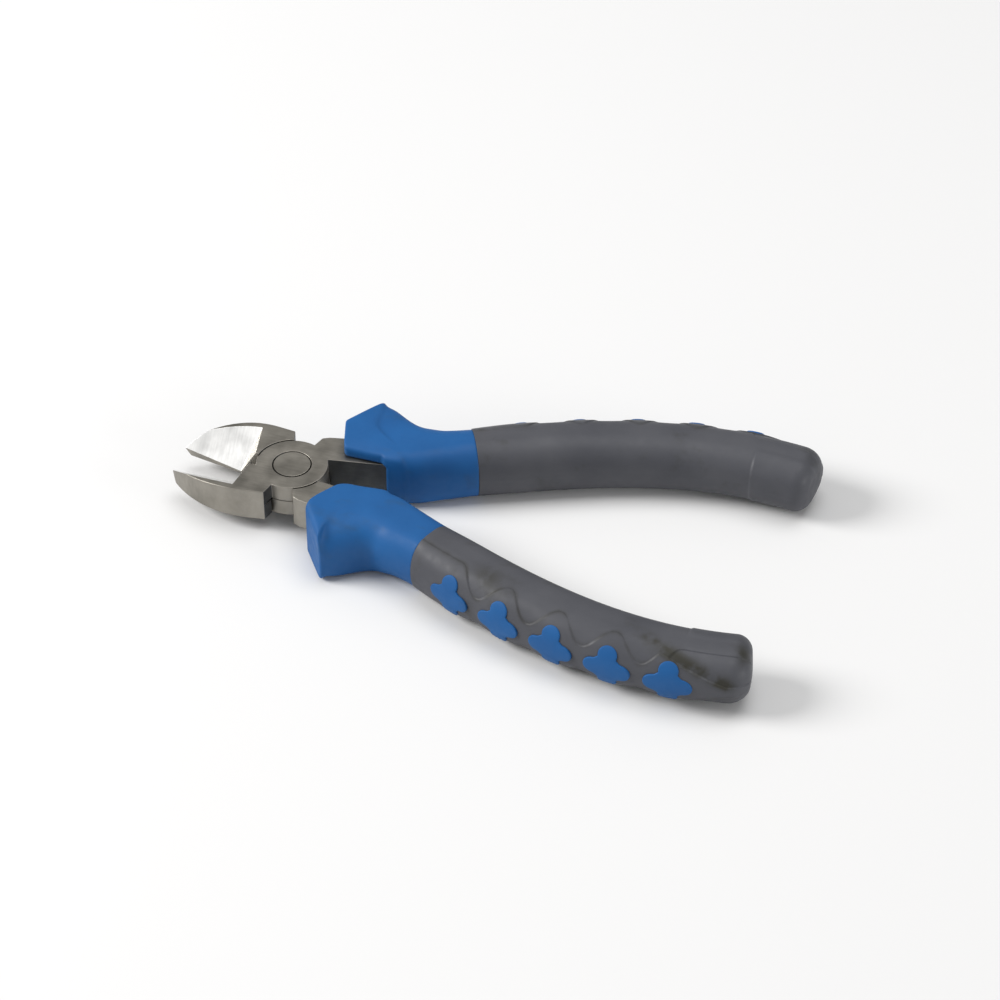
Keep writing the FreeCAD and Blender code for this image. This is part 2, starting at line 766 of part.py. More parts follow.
def handle_placement(side):
    """The lower handle is the upper one turned over about the X axis, then opened."""
    turn = 0 if side > 0 else 180
    return rest_placement(side) * FreeCAD.Placement(V(0, 0, 0), FreeCAD.Rotation(V(1, 0, 0), turn))


def check(doc, nodes):
    for item in doc.Objects:
        if "Invalid" in item.State or "Error" in item.State:
            raise RuntimeError("%s failed: %s" % (item.Name, item.State))
    for item, label, _ in nodes:
        shape = item.Shape
        if shape.isNull() or not shape.isValid() or len(shape.Solids) != 1:
            raise RuntimeError("%s: %d solids, valid %s" % (label, len(shape.Solids), shape.isValid()))


def build():
    nodes = []
    bores = {UPPER: "Sizes.rivet_rad + Sizes.rivet_running_gap", LOWER: "Sizes.rivet_rad"}
    for half, side in (("upper", UPPER), ("lower", LOWER)):
        forged = lever(DOC, half + "_lever", side, bores[side])
        DOC.recompute()
        nodes.append((forged, half + "_lever", rest_placement(side)))
        nodes += grip_nodes(DOC, half, side, forged.Shape)
    nodes.append((rivet(DOC), "pivot_rivet", rest_placement(LOWER)))
    DOC.recompute()
    for item, _, placement in nodes:
        item.Placement = placement
    DOC.recompute()
    whole = Part.makeCompound([item.Shape for item, _, _ in nodes]).optimalBoundingBox(True, False)
    lift = FreeCAD.Placement(V(-whole.Center.x, -whole.Center.y, -whole.ZMin), FreeCAD.Rotation())
    for item, label, placement in nodes:
        item.Placement = lift * placement
        item.Label = label
    DOC.recompute()
    check(DOC, nodes)
    os.makedirs("parts", exist_ok=True)
    for item, label, _ in nodes:
        item.Shape.exportStep("parts/%s.step" % label)
        print(label, "volume %.1f" % item.Shape.Volume)
    print("pivot", lift.Base, "box", whole)


DOC = FreeCAD.newDocument("diagonal_cutting_pliers")
SHEET = make_sheet(DOC)
build()
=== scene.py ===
import math

import bmesh
import bpy
import numpy as np
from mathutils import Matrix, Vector


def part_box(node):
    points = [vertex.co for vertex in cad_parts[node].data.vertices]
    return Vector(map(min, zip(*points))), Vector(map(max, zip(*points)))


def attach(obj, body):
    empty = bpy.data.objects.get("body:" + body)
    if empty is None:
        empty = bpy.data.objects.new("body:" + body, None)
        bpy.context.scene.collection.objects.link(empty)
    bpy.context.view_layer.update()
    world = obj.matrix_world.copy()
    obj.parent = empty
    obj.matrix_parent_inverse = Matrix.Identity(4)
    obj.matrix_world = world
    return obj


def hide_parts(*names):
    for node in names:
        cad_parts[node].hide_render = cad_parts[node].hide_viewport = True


# Diagonal cutting pliers on a pale table.  The steel pieces are the frame's own, dressed here.  The
# grips are drawn closed, in millimetres, in the frame of their own half: pivot on the Z axis, parting
# plane at z = 0, +X towards the handles and +Y to the outside of the handle.  place() then turns the
# half open and puts it on the pivot.

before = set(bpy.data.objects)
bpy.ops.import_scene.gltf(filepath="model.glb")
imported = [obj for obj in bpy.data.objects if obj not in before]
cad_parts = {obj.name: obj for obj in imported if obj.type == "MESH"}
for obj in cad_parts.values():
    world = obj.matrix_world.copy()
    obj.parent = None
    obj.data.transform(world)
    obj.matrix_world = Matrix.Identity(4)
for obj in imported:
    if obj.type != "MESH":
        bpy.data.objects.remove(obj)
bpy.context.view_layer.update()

MM = 0.001
UPPER = 1
LOWER = -1
HALVES = (("upper", UPPER), ("lower", LOWER))
HALF_OPENING = math.radians(8.3)
TINY = 1e-6
PIVOT = sum(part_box("pivot_rivet"), Vector()) / 2

# centreline of a grip: a cubic Bezier whose control points are evenly spaced in x
BOW_X = (25.0, 145.0)
BOW_Y = (5.5, 18.9, 32.5, 18.2)
# grip sections
NECK_X, NECK_WIDTH = 34.0, 14.5
PALM_X, PALM_WIDTH = 62.0, 17.8
END_X, END_WIDTH = 144.8, 18.3
GRIP_THICK, END_THICK = 18.5, 16.4
SQUARENESS = 2.4
BOUNDARY_X = 49.4
SPIGOT_X, SPIGOT_WIDTH, SPIGOT_THICK = 31.0, 10.6, 10.4
# clover pads
PAD_X = tuple(62.9 + 15.6 * index for index in range(5))
# half height of the flat lands that both grips rest on
LAND_Z = 9.15


# ---------------------------------------------------------------- curves and sections

def smooth_step(value, low, high):
    share = np.clip((value - low) / (high - low), 0.0, 1.0)
    return share * share * (3 - 2 * share)


def blend(value, low, high, start, end):
    return start + (end - start) * smooth_step(value, low, high)


def centre_y(x):
    share = (x - BOW_X[0]) / (BOW_X[1] - BOW_X[0])
    rest = 1 - share
    return (BOW_Y[0] * rest ** 3 + 3 * BOW_Y[1] * rest ** 2 * share
            + 3 * BOW_Y[2] * rest * share ** 2 + BOW_Y[3] * share ** 3)


def centre_slope(x):
    share = (x - BOW_X[0]) / (BOW_X[1] - BOW_X[0])
    rest = 1 - share
    steps = [3 * (after - before) for before, after in zip(BOW_Y, BOW_Y[1:])]
    rise = steps[0] * rest ** 2 + 2 * steps[1] * rest * share + steps[2] * share ** 2
    return rise / (BOW_X[1] - BOW_X[0])


def half_width(x):
    width = blend(x, NECK_X, PALM_X, NECK_WIDTH, PALM_WIDTH)
    return (width + blend(x, PALM_X, END_X, 0.0, END_WIDTH - PALM_WIDTH)) / 2


def half_thick(x):
    return blend(x, PALM_X, END_X, GRIP_THICK, END_THICK) / 2


def signed_turn(angle):
    """The angle, brought to within half a turn of the spine."""
    return np.arctan2(np.sin(angle), np.cos(angle))


def superellipse(angle, wide, tall, power):
    """Radius at an angle, 0 on the spine and a quarter turn on top."""
    across = np.abs(np.cos(angle)) / wide
    rise = np.abs(np.sin(angle)) / tall
    return (across ** power + rise ** power) ** (-1 / power)


def skin(x, angle):
    """Radius of the grip's plain outer skin."""
    return superellipse(angle, half_width(x), half_thick(x), SQUARENESS)


def on_section(x, angle, radius):
    """Points at a radius and an angle about the centreline, square to it."""
    slope = centre_slope(x)
    length = np.sqrt(1 + slope ** 2)
    out = radius * np.cos(angle)
    rise = radius * np.sin(angle)
    return np.stack([x - out * slope / length, centre_y(x) + out / length, rise], -1)


# ---------------------------------------------------------------- meshes and placing

def place(points, side):
    """From a half's closed frame in millimetres to the row frame in metres."""
    turned = points * np.array([1.0, side, side])
    cos, sin = math.cos(side * HALF_OPENING), math.sin(side * HALF_OPENING)
    x = turned[:, 0] * cos - turned[:, 1] * sin
    y = turned[:, 0] * sin + turned[:, 1] * cos
    return np.stack([x, y, turned[:, 2]], -1) * MM + np.array(PIVOT)


def make_piece(name, points, faces, side, body, material, nodes):
    mesh = bpy.data.meshes.new(name)
    landed = np.concatenate([points[:, :2], np.clip(points[:, 2:], -LAND_Z, LAND_Z)], 1)
    mesh.from_pydata(place(landed, side).tolist(), [], faces)
    mesh.validate()
    shell = bmesh.new()
    shell.from_mesh(mesh)
    bmesh.ops.recalc_face_normals(shell, faces=shell.faces)
    shell.to_mesh(mesh)
    shell.free()
    mesh.shade_smooth()
    piece = bpy.data.objects.new(name, mesh)
    bpy.context.scene.collection.objects.link(piece)
    mesh.materials.append(material)
    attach(piece, body)
    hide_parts(*nodes)
    return piece


def ring_mesh(rings):
    """Closed skin over rings of equal count; the first and last entries are single end points."""
    count = len(rings[1])
    points = np.concatenate([rings[0], *rings[1:-1], rings[-1]])
    last = len(points) - 1
    faces = []
    following = [(index + 1) % count for index in range(count)]
    for index in range(count):
        faces.append((0, 1 + following[index], 1 + index))
    for ring in range(len(rings) - 3):
        low = 1 + ring * count
        high = low + count
        for index, after in enumerate(following):
            faces.append((low + index, low + after, high + after, high + index))
    top = last - count
    for index in range(count):
        faces.append((top + index, top + following[index], last))
    return points, faces


# ---------------------------------------------------------------- grip core

# heights and depths of the moulded detail
WAVE_STEP = 0.26
PANEL_STEP = 0.28
CAP_STEP = 0.15
UNDER_STEP = 0.30
PARTING_STEP = 0.06
DIP_DEPTH = 0.32
GROOVE_DEPTH = 0.20
POCKET_DEPTH = 1.1
# millimetres round the skin for a degree about the centreline; below, turns are in degrees
DEGREE_ARC = 0.162
# the edge of the raised outer band: it dips between the pads, then slants towards the spine
BAND_TURN = 69.0
WAVE_TURN, WAVE_SWING = 48, 21
WAVE_LAG = 0.4
SLANT_X, SLANT_TURN = 124.5, 47
SLANT_RUN, SLANT_DROP = 16.6, 41
SLANT_LEAD = 8
# the sunk panel: its top, its end, its lower side along the slant and its steep front side
PANEL_TURN = 68
PANEL_END_X = 141.3
PANEL_SLANT = 0.395
PANEL_FRONT_RUN, PANEL_FRONT_RISE, PANEL_FRONT_LENGTH = 2.2, 3.36, 4.02
PANEL_ROUND = 0.35
PANEL_FAR = 8
# half the width of a moulded step's slope, and where each detail begins and is full
EDGE_SOFT = 0.25
CAP_X = (141.0, 141.6)
CAP_FADE = (120.0, 100.0)
UNDER_X, UNDER_FADE = (127.6, 128.4), (98.0, 112.0)
DIP_FADE = (65.0, 40.0)
GROOVE_X = 141.5
LINE_HALF = 0.3
# dirt: in the wave's line, in a slanting streak and in two smudges (x, turn), (size in both)
DIRT_HALF, DIRT_END_X = 0.8, (141.0, 138.0)
STREAK_X, STREAK_TURN, STREAK_FALL = 115.2, 85, 2.8
STREAK_LENGTHEN, STREAK_HALF = 1.1, 1.7
STREAK_FROM_X, STREAK_TO_X = (112.0, 120.0), (142.5, 140.0)
THUMB_SMUDGE = ((71.5, 68), (4.0, 20))
RIM_SMUDGE = ((142.5, 80), (1.8, 22))
LINE_DIRT, THUMB_DIRT, RIM_DIRT = 0.5, 0.7, 0.9
# mesh: a fine fan over the detail and a coarser one over the plain side
DETAIL_TURN, DETAIL_COUNT, PLAIN_COUNT = 78, 170, 66
RING_COUNT = 361
SPIGOT_MIDDLE_X, SPIGOT_TIP_SHARE = 40.0, 0.9
GUARD_GAP = 0.02
END_ROUND, END_ROUND_MORE, END_DOME = 4.2, 1.6, 0.25


def wave_limit(x):
    """Angle, in degrees from the spine, where the raised outer band ends."""
    first = PAD_X[0] + WAVE_LAG
    phase = (x - first) / (PAD_X[1] - PAD_X[0])
    wave = WAVE_TURN + WAVE_SWING * np.cos(2 * math.pi * phase)
    wave = np.where((x < first) | (x > PAD_X[-1]), BAND_TURN, wave)
    slant = SLANT_TURN - (x - SLANT_X) * SLANT_DROP / SLANT_RUN
    return np.minimum(wave, np.where(x < PAD_X[-1] - SLANT_LEAD, BAND_TURN, slant))


def panel_depth(x, degrees):
    """How far inside the sunk panel near the end of the grip, in millimetres."""
    rise = degrees * DEGREE_ARC
    low = SLANT_TURN * DEGREE_ARC
    front = (x - SLANT_X) * PANEL_FRONT_RISE - (rise - low) * PANEL_FRONT_RUN
    sides = [PANEL_TURN * DEGREE_ARC - rise,
             PANEL_END_X - x,
             (rise - low + PANEL_SLANT * (x - SLANT_X)) / math.hypot(1, PANEL_SLANT),
             front / PANEL_FRONT_LENGTH]
    total = sum(np.exp(-np.clip(value, -PANEL_FAR, PANEL_FAR) / PANEL_ROUND) for value in sides)
    return -PANEL_ROUND * np.log(total)


def bell(value, half):
    """1 where the value is 0, fading on both sides."""
    return np.exp(-(value / half) ** 2)


def core_relief(x, angle):
    """Height of the moulded detail above the plain skin."""
    degrees = np.degrees(np.abs(signed_turn(angle)))
    band = smooth_step((wave_limit(x) - degrees) * DEGREE_ARC, -EDGE_SOFT, EDGE_SOFT)
    band = band * (1 - smooth_step(x, *CAP_X))
    panel = smooth_step(panel_depth(x, degrees), -EDGE_SOFT, EDGE_SOFT)
    cap = smooth_step(x, *CAP_X) * smooth_step(degrees, *CAP_FADE)
    under = smooth_step(x, *UNDER_X) * smooth_step(degrees, *UNDER_FADE)
    parting = bell((180 - degrees) * DEGREE_ARC, LINE_HALF)
    share = np.clip((x - PAD_X[0]) / (PAD_X[-1] - PAD_X[0]), 0, 1) * (len(PAD_X) - 1)
    dip = (0.5 - 0.5 * np.cos(2 * math.pi * share)) * smooth_step(degrees, *DIP_FADE)
    groove = bell(x - GROOVE_X, LINE_HALF) * smooth_step(degrees, *CAP_FADE)
    raised = WAVE_STEP * band + CAP_STEP * cap + UNDER_STEP * under + PARTING_STEP * parting
    return raised - PANEL_STEP * panel - DIP_DEPTH * dip - GROOVE_DEPTH * groove


# clover pads: hub, lobes, how far out the lobes' centres lie, and how far the outline reaches
PAD_HUB_RAD, PAD_LOBE_RAD = 4.3, 2.5
PAD_REACH_ALONG, PAD_REACH_AROUND = 3.7, 4.5
PAD_REACH = 7.0
PAD_BLEND = 3
PAD_DENSE = 4001


def pad_outline(count=144):
    """Clover outline in the plane: four round lobes and a hub, evenly stepped."""
    dense = np.linspace(0, 2 * math.pi, PAD_DENSE)
    best = np.full(dense.shape, PAD_HUB_RAD)
    for turn, reach in ((0.0, PAD_REACH_ALONG), (math.pi / 2, PAD_REACH_AROUND),
                        (math.pi, PAD_REACH_ALONG), (1.5 * math.pi, PAD_REACH_AROUND)):
        off = dense - turn
        under = PAD_LOBE_RAD ** 2 - (reach * np.sin(off)) ** 2
        lobe = reach * np.cos(off) + np.sqrt(np.maximum(under, 0))
        lobe = np.where((under > 0) & (np.cos(off) > 0), lobe, 0.0)
        best = np.log(np.exp(best * PAD_BLEND) + np.exp(lobe * PAD_BLEND)) / PAD_BLEND
    best = best - (best.max() - PAD_REACH)
    line = np.stack([best * np.cos(dense), best * np.sin(dense)], -1)
    run = np.concatenate([[0], np.cumsum(np.hypot(*np.diff(line, axis=0).T))])
    even = np.linspace(0, run[-1], count + 1)[:-1]
    return np.stack([np.interp(even, run, line[:, axis]) for axis in (0, 1)], -1)


PAD_OUTLINE = pad_outline()
PAD_ARC_RAD = 9.33
POCKET_EDGE = (0.25, 0.6)


def pad_pocket(x, angle):
    """1 well inside a pad's outline, 0 outside: the pockets that the pads sit in."""
    inside = np.zeros(x.shape)
    around = signed_turn(angle) * PAD_ARC_RAD
    turns = np.arctan2(PAD_OUTLINE[:, 1], PAD_OUTLINE[:, 0])
    order = np.argsort(turns)
    reach = np.hypot(PAD_OUTLINE[:, 0], PAD_OUTLINE[:, 1])[order]
    for pad_x in PAD_X:
        along = (x - pad_x) * np.sqrt(1 + centre_slope(x) ** 2)
        limit = np.interp(np.arctan2(around, along), turns[order], reach, period=2 * math.pi)
        inside = np.maximum(inside, smooth_step(limit - np.hypot(along, around), *POCKET_EDGE))
    return inside


def smudge(x, degrees, middle, size):
    """A soft oval patch, 1 in its middle."""
    return np.exp(-((x - middle[0]) / size[0]) ** 2 - ((degrees - middle[1]) / size[1]) ** 2)


def grime(x, angle):
    """Where dirt gathers: in the wave's line, and in smudges on one side where a thumb has rubbed."""
    turn = np.degrees(signed_turn(angle))
    degrees = np.abs(turn)
    line = bell((wave_limit(x) - degrees) * DEGREE_ARC, DIRT_HALF) * smooth_step(x, *DIRT_END_X)
    off = (degrees - STREAK_TURN + STREAK_FALL * (x - STREAK_X)) * DEGREE_ARC / STREAK_LENGTHEN
    streak = bell(off, STREAK_HALF) * smooth_step(x, *STREAK_FROM_X) * smooth_step(x, *STREAK_TO_X)
    thumb = THUMB_DIRT * smudge(x, degrees, *THUMB_SMUDGE)
    rim = RIM_DIRT * smudge(x, degrees, *RIM_SMUDGE)
    rubbed = np.maximum(np.maximum(streak, thumb), rim) * (turn < 0)
    return np.clip(LINE_DIRT * line + rubbed, 0, 1)


def store(piece, name, values):
    """Keeps one number per vertex for the material to read."""
    layer = piece.data.attributes.new(name, "FLOAT", "POINT")
    layer.data.foreach_set("value", np.asarray(values, dtype=np.float32))


def make_core(half, side, material):
    detail = np.radians(np.linspace(-DETAIL_TURN, DETAIL_TURN, DETAIL_COUNT))
    plain = np.radians(np.linspace(DETAIL_TURN, 360 - DETAIL_TURN, PLAIN_COUNT)[1:-1])
    angle = np.concatenate([detail, plain])
    rings = []
    dirt = [np.zeros(1 + 4 * len(angle))]
    spigot = superellipse(angle, SPIGOT_WIDTH / 2, SPIGOT_THICK / 2, SQUARENESS)
    rings.append(on_section(np.array([SPIGOT_X]), np.zeros(1), np.zeros(1)))
    for x in (SPIGOT_X, SPIGOT_X + 1, SPIGOT_MIDDLE_X, BOUNDARY_X):
        size = spigot * (SPIGOT_TIP_SHARE if x == SPIGOT_X else 1.0)
        rings.append(on_section(np.full(angle.shape, x), angle, size))
    turn_in = END_ROUND + END_ROUND_MORE * np.cos(angle / 2) ** 2
    straight = END_X - turn_in
    for share in np.linspace(0, 1, RING_COUNT):
        x = BOUNDARY_X + GUARD_GAP + (straight - BOUNDARY_X - GUARD_GAP) * share
        radius = skin(x, angle) + core_relief(x, angle) - POCKET_DEPTH * pad_pocket(x, angle)
        rings.append(on_section(x, angle, radius))
        dirt.append(grime(x, angle))
    for turn in np.radians(np.linspace(6, 90, 15)):
        x = straight + turn_in * math.sin(turn)
        radius = skin(x, angle) + core_relief(straight, angle)
        rings.append(on_section(x, angle, radius - turn_in * (1 - math.cos(turn))))
        dirt.append(grime(x, angle))
    edge = skin(END_X, angle) - turn_in
    for share in (0.85, 0.68, 0.5, 0.34, 0.2, 0.1):
        dome = END_DOME * (1 - share ** 2)
        rings.append(on_section(np.full(angle.shape, END_X + dome), angle, edge * share))
    rings.append(on_section(np.array([END_X + END_DOME]), np.zeros(1), np.zeros(1)))
    points, faces = ring_mesh(rings)
    name = half + "_grip_core"
    piece = make_piece("hard_" + name, points, faces, side, half + "_half", material,
                       [name])
    dirt = np.concatenate(dirt)
    store(piece, "grime", np.pad(dirt, (0, len(points) - len(dirt))))


# ---------------------------------------------------------------- pads

# heights from the raised band: the root and its rim in the pocket, the wall's foot, the face and
# the crown on it
PAD_ROOT, PAD_ROOT_RIM, PAD_FOOT = -0.95, -0.9, -0.2
PAD_PROUD, PAD_CROWN = 0.34, 0.14
# how far in from the outline the root and its rim lie, and the rounding of the face's edge
ROOT_INSET, RIM_INSET = 0.5, 0.05
PAD_ROUND = 0.28
# the share of the run along the grip at which a pad's slope is taken
SLOPE_SHARE = 0.97


def make_pad(half, side, number, material):
    pad_x = PAD_X[number]
    ahead = np.roll(PAD_OUTLINE, -1, axis=0) - np.roll(PAD_OUTLINE, 1, axis=0)
    ahead = ahead / np.hypot(ahead[:, 0], ahead[:, 1])[:, None]
    inward = np.stack([-ahead[:, 1], ahead[:, 0]], -1)

    def lay(plane, height):
        slope = centre_slope(pad_x + plane[:, 0] * SLOPE_SHARE)
        x = pad_x + plane[:, 0] / np.sqrt(1 + slope ** 2)
        angle = plane[:, 1] / PAD_ARC_RAD
        return on_section(x, angle, skin(x, angle) + WAVE_STEP + height)

    rings = [lay(np.zeros((1, 2)), PAD_ROOT)]
    rings.append(lay(PAD_OUTLINE + inward * ROOT_INSET, PAD_ROOT))
    rings.append(lay(PAD_OUTLINE + inward * RIM_INSET, PAD_ROOT_RIM))
    rings.append(lay(PAD_OUTLINE, PAD_FOOT))
    for turn in np.radians((0, 22, 45, 68, 90)):
        inset = PAD_ROUND * (1 - math.cos(turn))
        rings.append(lay(PAD_OUTLINE + inward * inset, PAD_PROUD - PAD_ROUND * (1 - math.sin(turn))))
    for share in (0.94, 0.86, 0.74, 0.58, 0.4, 0.2, 0.08):
        crown = PAD_CROWN * (1 - share ** 2)
        rings.append(lay((PAD_OUTLINE + inward * PAD_ROUND) * share, PAD_PROUD + crown))
    rings.append(lay(np.zeros((1, 2)), PAD_PROUD + PAD_CROWN))
    points, faces = ring_mesh(rings)
    name = "%s_grip_pad_%d" % (half, number + 1)
    make_piece("soft_" + name, points, faces, side, half + "_half", material, [name])


# ---------------------------------------------------------------- thumb guard

def soft_max(first, second, softness):
    share = np.clip(0.5 + (first - second) / (2 * softness), 0, 1)
    return second + (first - second) * share + softness * share * (1 - share)


def soft_min(first, second, softness):
    return -soft_max(-first, -second, softness)


def facet(x, y, start, stop):
    """Signed distance to the line from start to stop in plan, positive on its right-hand side."""
    run = (stop[0] - start[0], stop[1] - start[1])
    length = math.hypot(*run)
    return ((x - start[0]) * run[1] - (y - start[1]) * run[0]) / length


# the flared plate's corners in plan, half its thickness and the roll of its outer edge
FRONT_TOP = (12.4, 16.3)
FRONT_LOW = (13.8, 5.0)
PEAK = (22.2, 27.0)
LIP_FRONT = (13.5, 5.0)
LIP_BACK = (24.0, 3.2)
CHAMFER = ((12.9, 12.5), (17.0, 4.4))
PLATE_HALF = 8.5
EDGE_ROLL = 2.6
# the plate thins towards the inner side
PLATE_THIN, PLATE_THIN_Y = 0.6, (9.0, 4.0)
# the plate's back: a nearly square face above and a leaning one below, as x at a y and its lean
BACK_X, BACK_LEAN, BACK_Y = 20.4, 0.12, 16.5
HEEL_X, HEEL_LEAN, HEEL_Y = 21.2, 0.75, 14.0
BACK_SCALE = 0.93
# the sleeve's sections as (from, to, value before, value after) along the station
TOP_SHIFT = (18.0, 31.0, 10.0, 0.0)
OUTER_SWELL, OUTER_TRIM = (19.5, 37.5, 22.3, 9.8), (36.0, 50.0, 0.0, 1.6)
INNER_SWELL, INNER_TRIM = (19.0, 36.0, 2.4, 7.3), (36.0, 50.0, 0.0, 0.9)
FULL_POWER = (24.0, 43.0, 7.0, SQUARENESS)
SCOOP_POWER = (26.0, 43.0, 2.15, SQUARENESS)
INNER_POWER = (32.0, 49.0, 3.4, SQUARENESS)
SLEEVE_TALL = (20.0, 32.0, PLATE_HALF, GRIP_THICK / 2)
STATION_FADE, STATION_RANGE, STATION_ROUNDS = (22.0, 46.0), (10.0, 60.0), 10
# how far the inner lip may stand below its line, on either side, in the same form
SIDE_FADE = (-4.0, 4.0)
LIP_RELIEF_FULL, LIP_RELIEF_SCOOP = (24.5, 27.8, 0.0, 4.0), (17.0, 25.0, 0.0, 4.0)
CHAMFER_FADE = (-5.0, -3.0, 0.0, 3.0)
# the open mouth round the shank, and the shank's own box
MOUTH_HALF, MOUTH_Y, MOUTH_X = 5.3, 6.0, 26.2
SHANK_HALF, SHANK_Y, SHANK_X = 4.98, (3.22, 12.87), 28.0
SPIGOT_RAD, SPIGOT_CLEAR = 5.0, 0.05
# the box searched for the guard's surface
GUARD_LOW, GUARD_HIGH = (11.0, -1.5, -10.2), (53.5, 28.5, 10.2)
QUICK_CELL, CELL = 0.45, 0.34


def sleeve_distance(x, y, z):
    """The sleeve: full and square on its +Z side, scooped out for the thumb on its -Z side."""
    station = x.copy()
    for _ in range(STATION_ROUNDS):
        turn = np.arctan(centre_slope(station)) * smooth_step(station, *STATION_FADE)
        out = (y - centre_y(station)) / np.cos(turn)
        station = np.clip(x + out * np.sin(turn), *STATION_RANGE)
    top = blend(station, *TOP_SHIFT)
    outer = blend(station, *OUTER_SWELL) - blend(station, *OUTER_TRIM) - top
    inner = blend(station, *INNER_SWELL) + blend(station, *INNER_TRIM) + top
    across = out - top
    wide = np.where(across > 0, outer, inner)
    outer_power = np.where(z > 0, blend(station, *FULL_POWER), blend(station, *SCOOP_POWER))
    power = np.where(across > 0, outer_power, blend(station, *INNER_POWER))
    tall = blend(station, *SLEEVE_TALL)
    reach = np.sqrt(across ** 2 + z ** 2) + TINY
    level = ((np.abs(across) / wide) ** power + (np.abs(z) / tall) ** power) ** (1 / power) + TINY
    return reach * (1 - 1 / level), station, out


def guard_distance(x, y, z):
    """Signed distance, negative inside the soft guard."""
    sleeve, station, out = sleeve_distance(x, y, z)
    square_back = BACK_X + BACK_LEAN * (y - BACK_Y)
    back = soft_max(square_back, HEEL_X + HEEL_LEAN * (HEEL_Y - y), softness=1.5)
    inner_wall = facet(x, y, LIP_FRONT, LIP_BACK)
    plate_half = PLATE_HALF - PLATE_THIN * smooth_step(y, *PLATE_THIN_Y)
    plate = soft_max(np.abs(z) - plate_half, (x - back) * BACK_SCALE, softness=1.0)
    plate = soft_max(plate, inner_wall, softness=1.6)
    whole = soft_min(sleeve, plate, softness=2.6)
    whole = soft_max(whole, facet(x, y, FRONT_TOP, FRONT_LOW), softness=0.5)
    rolled = soft_max(-z - PLATE_HALF, facet(x, y, PEAK, FRONT_TOP), softness=EDGE_ROLL)
    whole = soft_max(whole, rolled, softness=0.9)
    full_side = smooth_step(z, *SIDE_FADE)
    relief = blend(x, *LIP_RELIEF_FULL) * full_side + blend(x, *LIP_RELIEF_SCOOP) * (1 - full_side)
    whole = soft_max(whole, inner_wall - relief, softness=1.2)
    chamfer = facet(x, y, *CHAMFER) - blend(z, *CHAMFER_FADE)
    whole = soft_max(whole, chamfer, softness=1.5)
    whole = soft_max(whole, station - BOUNDARY_X, softness=0.08)
    mouth = soft_max(np.abs(z) - MOUTH_HALF, y - MOUTH_Y, softness=0.3)
    mouth = soft_max(mouth, x - MOUTH_X, softness=0.8)
    whole = soft_max(whole, -mouth, softness=0.8)
    shank = np.maximum(np.maximum(np.abs(z) - SHANK_HALF, y - SHANK_Y[1]), x - SHANK_X)
    shank = np.maximum(shank, SHANK_Y[0] - y)
    whole = soft_max(whole, -shank, softness=0.15)
    level = ((np.abs(out) * 2 / SPIGOT_WIDTH) ** SQUARENESS
             + (np.abs(z) * 2 / SPIGOT_THICK) ** SQUARENESS)
    spigot = SPIGOT_RAD * (level ** (1 / SQUARENESS) - 1) + SPIGOT_CLEAR
    return np.maximum(whole, -np.maximum(spigot, SPIGOT_X - station))


def surface_net(distance, low, high, cell):
    """A closed quad mesh of the zero surface of a distance function, one point per crossed cell."""
    axes = [np.arange(low[axis], high[axis] + cell, cell) for axis in range(3)]
    grid = np.meshgrid(*axes, indexing="ij")
    values = distance(*grid)
    inside = values < 0
    shape = tuple(length - 1 for length in inside.shape)
    corners = [(i, j, k) for i in (0, 1) for j in (0, 1) for k in (0, 1)]

    def corner(field, offset):
        return field[tuple(slice(o, o + length) for o, length in zip(offset, shape))]

    filled = sum(corner(inside, offset).astype(int) for offset in corners)
    crossed = (filled > 0) & (filled < 8)
    number = -np.ones(shape, int)
    number[crossed] = np.arange(crossed.sum())
    total = np.zeros((crossed.sum(), 3))
    weight = np.zeros(crossed.sum())
    for start in corners:
        for axis in range(3):
            if start[axis]:
                continue
            stop = tuple(o + (1 if a == axis else 0) for a, o in enumerate(start))
            first = corner(values, start)[crossed]
            second = corner(values, stop)[crossed]
            cut = (first < 0) != (second < 0)
            share = np.where(cut, first / np.where(cut, first - second, 1), 0)
            spot = np.array(start, float) + share[:, None] * np.eye(3)[axis]
            total += np.where(cut[:, None], spot, 0)
            weight += cut
    cells = np.argwhere(crossed)
    points = (cells + total / weight[:, None]) * cell + np.array([axis[0] for axis in axes])
    faces = []
    for axis in range(3):
        one, two = [other for other in range(3) if other != axis]
        here = [slice(1, length) for length in shape]
        here[axis] = slice(0, shape[axis])
        start = inside[tuple(here)]
        after = list(here)
        after[axis] = slice(1, shape[axis] + 1)
        stop = inside[tuple(after)]
        for row in np.argwhere(start != stop):
            base = row + np.array([0 if a == axis else 1 for a in range(3)])
            ring = []
            for step_one, step_two in ((0, 0), (1, 0), (1, 1), (0, 1)):
                spot = base.copy()
                spot[one] -= step_one
                spot[two] -= step_two
                ring.append(int(number[tuple(spot)]))
            faces.append(tuple(ring))
    return points, faces


def settle(points, distance, rounds):
    """Moves points on to the zero surface along the gradient."""
    probe = 0.02
    damping = 0.8
    for _ in range(rounds):
        level = distance(*points.T)
        ahead = [distance(*(points + probe * np.eye(3)[axis]).T) for axis in range(3)]
        slope = np.stack([value - level for value in ahead], -1) / probe
        steep = (slope ** 2).sum(1) + TINY
        points = points - damping * slope * (level / steep)[:, None]
    return points


def make_guard(half, side, material):
    cell = CELL
    points, faces = surface_net(guard_distance, GUARD_LOW, GUARD_HIGH, cell)
    points = settle(points, guard_distance, rounds=3)
    name = half + "_thumb_guard"
    make_piece("soft_" + name, points, faces, side, half + "_half", material, [name])


# ---------------------------------------------------------------- materials

def new_material(name):
    material = bpy.data.materials.new(name)
    material.use_nodes = True
    return material, material.node_tree.nodes, material.node_tree.links


